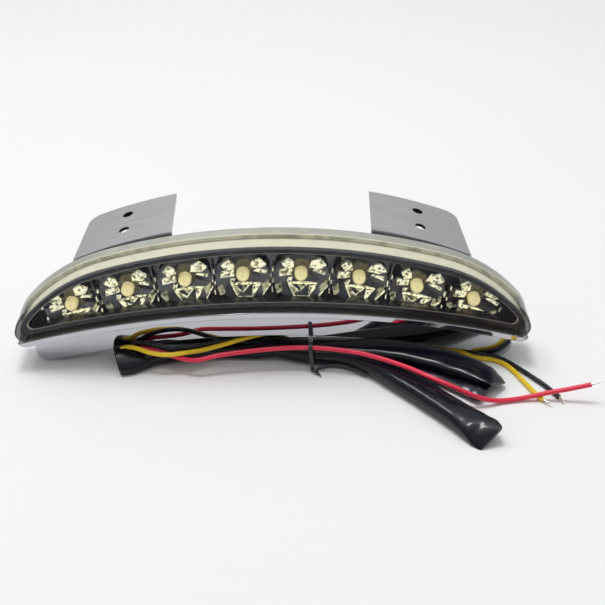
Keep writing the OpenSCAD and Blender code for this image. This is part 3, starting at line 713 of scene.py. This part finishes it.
def add_lens():
    """The lens's thick smoked ends are darker than its long edge and its window. The long edge takes a
    lighter copy of the smoke than the window: painted light on the walls and painted shade on the window.
    """
    bm = bmesh.new()
    loft(bm, [at_depth(crescent(i), y) for i, y in rounded(1.1, 5)]
         + [at_depth(crescent(0), 12.82), at_depth(crescent(0.08), LENS_BACK_Y),
            at_depth(crescent(LENS_WALL), LENS_BACK_Y), at_depth(crescent(LENS_WALL), 2.6),
            at_depth(crescent(2.6), 2.4)], mats=[2] * 6 + [0] * 4)
    for face in bm.faces:
        if len(face.verts) > 4:
            face.material_index = 1
        elif abs(face.calc_center_median().x) < LENS_END_X * MM:
            face.material_index = 0
    add_piece("lens_shell", bm, [smoked, window_glass, lens_end], ("lens",), smooth=40,
              weighted=True)


def window(more):
    return crescent(4.8 + more, tip=2.5)


def add_bezel():
    """The black frame round the window, with a pale line painted on its inner edge as its highlight."""
    bm = bmesh.new()
    loft(bm, [at_depth(crescent(2.5), 2.6), at_depth(crescent(2.5), 5), at_depth(window(0), 5),
              at_depth(window(0), 2.75), at_depth(window(-0.34), 2.6)], closed=True, mats=[0, 0, 0, 1, 0])
    add_piece("bezel_frame", bm, [bezel_black, edge_painted_highlight], ("bezel",), smooth=20)


add_housing()
add_lens()
add_bezel()


# ---- Reflector --------------------------------------------------------------------------

def within(x, z, margin):
    """The point, pulled inside the lamp's outline by a margin."""
    d = math.hypot(x - BELLY_C[0], z - BELLY_C[1])
    if d < BELLY_R + margin:
        k = (BELLY_R + margin) / d
        x, z = BELLY_C[0] + (x - BELLY_C[0]) * k, BELLY_C[1] + (z - BELLY_C[1]) * k
    side = 1 if x >= 0 else -1
    angle = bearing(CROWN_C, (abs(x), z))
    c, r = (CROWN_C, CROWN_R) if angle < CROWN_A else (SHOULDER_C, SHOULDER_R)
    if angle >= CROWN_A and bearing(SHOULDER_C, (abs(x), z)) > SHOULDER_A:
        c, r = CHEEK_C, CHEEK_R
    d = math.hypot(abs(x) - c[0], z - c[1])
    if d > r - margin:
        k = (r - margin) / d
        x, z = side * (c[0] + (abs(x) - c[0]) * k), c[1] + (z - c[1]) * k
    return x, z


CELL_PITCH, ROW_R, ROW_TOP = 26.8, 300, 44.5


def cell_frame(x):
    """A place on the row of LEDs, with the cosine and sine of the row's slope there."""
    a = math.asin(x / ROW_R)
    return x, ROW_TOP - ROW_R + math.sqrt(ROW_R * ROW_R - x * x), math.cos(a), math.sin(a)


def cell_point(cell, u, v, y, margin=4.8):
    x, z, c, s = cell
    return Vector(at_depth([within(x + u * c + v * s, z - u * s + v * c, margin)], y)[0])


def bowl_depth(u, v):
    return 12.2 - 0.42 * (math.hypot(u, v * 1.15) - 3.2)


def crystal(bm, cell, outline, rise, lean, mat):
    """A cut facet: a plate that follows the bowl, with its point raised away from the middle."""
    n = len(outline)
    cu, cv = sum(p[0] for p in outline) / n + lean[0], sum(p[1] for p in outline) / n + lean[1]
    foot = [bm.verts.new(cell_point(cell, u, v, bowl_depth(u, v) + 1.2)) for u, v in outline]
    rim = [bm.verts.new(cell_point(cell, u, v, bowl_depth(u, v) - 0.5)) for u, v in outline]
    top = bm.verts.new(cell_point(cell, cu, cv, bowl_depth(cu, cv) - 0.5 - rise))
    for k in range(n):
        j = (k + 1) % n
        bm.faces.new((rim[k], rim[j], top)).material_index = mat
        bm.faces.new((foot[k], foot[j], rim[j], rim[k])).material_index = mat
    bm.faces.new(foot).material_index = mat


def ridge(bm, cell, a, b, width, mat):
    """A thin raised line between two points of a cell."""
    du, dv = b[0] - a[0], b[1] - a[1]
    n = math.hypot(du, dv)
    nu, nv = -dv / n * width / 2, du / n * width / 2
    corners = [(a[0] + nu, a[1] + nv), (a[0] - nu, a[1] - nv), (b[0] - nu, b[1] - nv), (b[0] + nu, b[1] + nv)]
    crystal(bm, cell, corners, 0.12, (0, 0), mat)


# Each cut facet: its outline in the cell, how far its point rises and leans, and its material.
FACETS = [
    ([(3.4, 3.4), (8.6, 3.6), (11.4, 6.4), (8.4, 9.6), (4.6, 7.8)], 0.8, (0.8, -0.4), 1),
    ([(5.2, 1.7), (10.8, 1.0), (11.2, 2.5), (6.6, 2.7)], 0.35, (0.5, 0), 1),
    ([(-3.6, 3.2), (-7.2, 2.9), (-9.2, 6.4), (-6.2, 9.2), (-4.0, 6.8)], 0.8, (-0.6, -0.4), 1),
    ([(-4.1, 2.2), (-9.8, 2.6), (-10.1, -0.4), (-4.3, -0.9)], 0.5, (-0.8, 0.2), 1),
    ([(-4.0, -2.5), (-5.8, -2.1), (-6.2, -3.8), (-4.6, -4.2)], 0.4, (0, 0), 1),
    ([(-5.4, -5.0), (-3.0, -9.8), (-1.8, -8.2), (-2.8, -6.2)], 0.4, (0, 0), 2),
    ([(4.2, -6.0), (7.2, -5.0), (5.2, -8.6), (3.6, -9.4)], 0.4, (0, 0), 1),
    ([(-1.4, -5.4), (1.8, -5.4), (0.4, -7.6)], 0.3, (0, 0), 2),
    ([(8.4, -4.6), (12.0, -1.8), (11.4, -5.2), (9.0, -8.4)], 0.4, (0.3, 0), 2),
    ([(-12.0, -5.0), (-9.4, -3.6), (-8.6, -7.8), (-10.8, -8.6)], 0.4, (0, 0), 2),
]
RIDGES = [
    ((-5.8, -4.6), (7.9, -4.3)), ((7.9, -4.3), (3.8, -10.4)), ((3.8, -10.4), (-2.8, -10.4)),
    ((-2.8, -10.4), (-5.8, -4.6)), ((-5.4, -4.8), (-0.6, -8.6)), ((-0.6, -8.6), (3.2, -5.0)),
    ((8.6, -9.6), (12.4, -4.2)),
]
# Upright strips beside the cell walls, in the bright facet metal as painted glints: place across, foot and
# height.
PAINTED_GLINT_STRIPS = [(13.1, -1.5, 2.2), (-13.0, 2.8, 1.6), (13.2, -7.5, 1.8), (-12.8, -3.0, 1.0)]
SECTORS = 16


def jittered(outline, rng):
    """The outline with each of its corners moved a little at random."""
    return [(u + rng.uniform(-0.25, 0.25), v + rng.uniform(-0.25, 0.25)) for u, v in outline]


def add_bowl(bm, cell):
    """The bowl round an LED, in rings that widen from its throat."""
    rings = []
    for r, lift in ((3.5, 0), (6.2, 0.0), (9.2, 0.15), (12.9, 0.5)):
        ring = []
        for k in range(SECTORS):
            a = 2 * math.pi * (k + 0.5) / SECTORS
            u, v = r * math.cos(a), r * math.sin(a) * (0.96 if r > 9 else 1)
            depth = min(LENS_BACK_Y, bowl_depth(u, v) + lift + (0.25 if k % 2 else 0))
            ring.append(cell_point(cell, u, v, depth))
        rings.append(ring)
    back = [[p + Vector((0, 0.0008, 0)) for p in ring] for ring in reversed(rings)]
    loft(bm, rings + back, closed=True)


def add_cell_wall(bm, cell):
    section_of_wall = ((-0.5, 13), (-0.3, 7.4), (0.3, 7.4), (0.5, 13))
    loft(bm, [[cell_point(cell, u, v, y) for u, y in section_of_wall] for v in (12, 4, -4, -12)])


def add_reflector():
    """A rim and a back plate, eight faceted bowls, and the walls between them."""
    bm = bmesh.new()
    loft(bm, [at_depth(crescent(4.3), 5.1), at_depth(crescent(4.3), 13.9), at_depth(crescent(4.9), 13.9),
              at_depth(crescent(4.9), 5.1)], closed=True)
    loft(bm, [at_depth(crescent(4.5), 12.9), at_depth(crescent(4.5), 13.8)])
    rng = random.Random(11)
    for i in range(8):
        cell = cell_frame((i - 3.5) * CELL_PITCH)
        add_bowl(bm, cell)
        for outline, rise, lean, mat in FACETS:
            crystal(bm, cell, jittered(outline, rng), rise, lean, mat)
        for a, b in RIDGES:
            ridge(bm, cell, a, b, 0.34, 1)
        for u, v, h in PAINTED_GLINT_STRIPS:
            corners = [(u - 0.2, v), (u + 0.2, v), (u + 0.2, v + h), (u - 0.2, v + h)]
            crystal(bm, cell, corners, 0.2, (0, 0), 1)
    for i in range(1, 8):
        add_cell_wall(bm, cell_frame((i - 4) * CELL_PITCH))
    add_piece("reflector_facets", bm, [bowl_painted_shade, facet_painted_highlight, facet_painted_dim_highlight],
              ("reflector",), smooth=8)


add_reflector()


# ---- CAD nodes that stay, and pieces finished from them -----------------------------------

def dress(names, mat):
    for name in names:
        data = nodes[name].data
        data.materials.clear()
        data.materials.append(mat)


dress(["led_%d" % i for i in range(1, 9)], led_dome)
dress(["lens_seal"], sealant_painted_light)
dress(["circuit_board"], board)
dress(["board_screws"], zinc)
dress(["resistors", "diodes"], component)
dress(["solder_joints"], solder)
dress(["inner_leads"], wire_red)
# The fender holes, in metres as the CAD meshes are: their slope, places along Y, the middle of
# the plates' curve, and a little more than their radius.
HOLE_ANGLE = 17
HOLE_YS = (0.0045, 0.0205)
PLATE_CENTRE_Z = -0.1745
HOLE_REACH = 0.0027


def finish_bracket(name, sign):
    """A bracket with rounded edges, and painted shade inside its fender holes."""
    bracket = refined(name, [steel, bore_shade], 0.3)
    axis = Vector((math.sin(math.radians(HOLE_ANGLE)) * sign, 0, math.cos(math.radians(HOLE_ANGLE))))
    for face in bracket.data.polygons:
        for y in HOLE_YS:
            arm = face.center - Vector((0, y, PLATE_CENTRE_Z))
            if (arm - axis * arm.dot(axis)).length < HOLE_REACH and abs(face.normal.dot(axis)) < 0.5:
                face.material_index = 1


finish_bracket("bracket_left", -1)
finish_bracket("bracket_right", 1)
refined("bracket_gaskets", [rubber], 0.3)
refined("bracket_screws", [zinc], 0.2)


# ---- Floor and light --------------------------------------------------------------------

def add_floor():
    bm = bmesh.new()
    bmesh.ops.create_grid(bm, x_segments=2, y_segments=2, size=4)
    mesh = bpy.data.meshes.new("floor")
    bm.to_mesh(mesh)
    bm.free()
    mat = material("floor_white", (0.86, 0.86, 0.855), 0.8, spread=0.004, scale=3)
    mesh.materials.append(mat)
    obj = bpy.data.objects.new("floor", mesh)
    scene.collection.objects.link(obj)


def add_light(name, at, aim, size, power, color=(1, 1, 1)):
    data = bpy.data.lights.new(name, "AREA")
    data.shape = "RECTANGLE"
    data.size, data.size_y = size
    data.energy = power
    data.color = color
    obj = bpy.data.objects.new(name, data)
    scene.collection.objects.link(obj)
    obj.location = at
    obj.rotation_euler = (Vector(aim) - Vector(at)).to_track_quat("-Z", "Y").to_euler()


add_floor()
add_light("softbox_top", (-0.1, 0.12, 1.5), (0, 0, 0), (1.2, 1.2), 2.5)
add_light("key", (-0.1, 0.14, 1.3), (0, 0, 0), (0.36, 0.26), 6.3)
add_light("side_strip", (-0.6, 0.42, 1.3), (0.05, -0.05, 0), (0.4, 0.26), 2.6)


def add_studio():
    """A bright ceiling, dimmer walls and a darker side towards the viewer."""
    world = bpy.data.worlds.new("studio")
    world.use_nodes = True
    tree = world.node_tree
    new, link = tree.nodes.new, tree.links.new
    way = new("ShaderNodeSeparateXYZ")
    link(new("ShaderNodeTexCoord").outputs["Generated"], way.inputs["Vector"])
    levels = []
    spans = (("Y", -0.7, 0.7, 0.38, 0.53), ("Z", 0.35, 0.9, 0.80, 1.50))
    for source, low, high, dim, bright in spans:
        level = new("ShaderNodeMapRange")
        level.interpolation_type = "SMOOTHSTEP"
        for key, value in (("From Min", low), ("From Max", high), ("To Min", dim), ("To Max", bright)):
            level.inputs[key].default_value = value
        link(way.outputs[source], level.inputs["Value"])
        levels.append(level)
    product = new("ShaderNodeMath")
    product.operation = "MULTIPLY"
    for i, level in enumerate(levels):
        link(level.outputs["Result"], product.inputs[i])
    background = tree.nodes["Background"]
    background.inputs["Color"].default_value = (0.97, 0.985, 1, 1)
    link(product.outputs["Value"], background.inputs["Strength"])
    scene.world = world


add_studio()
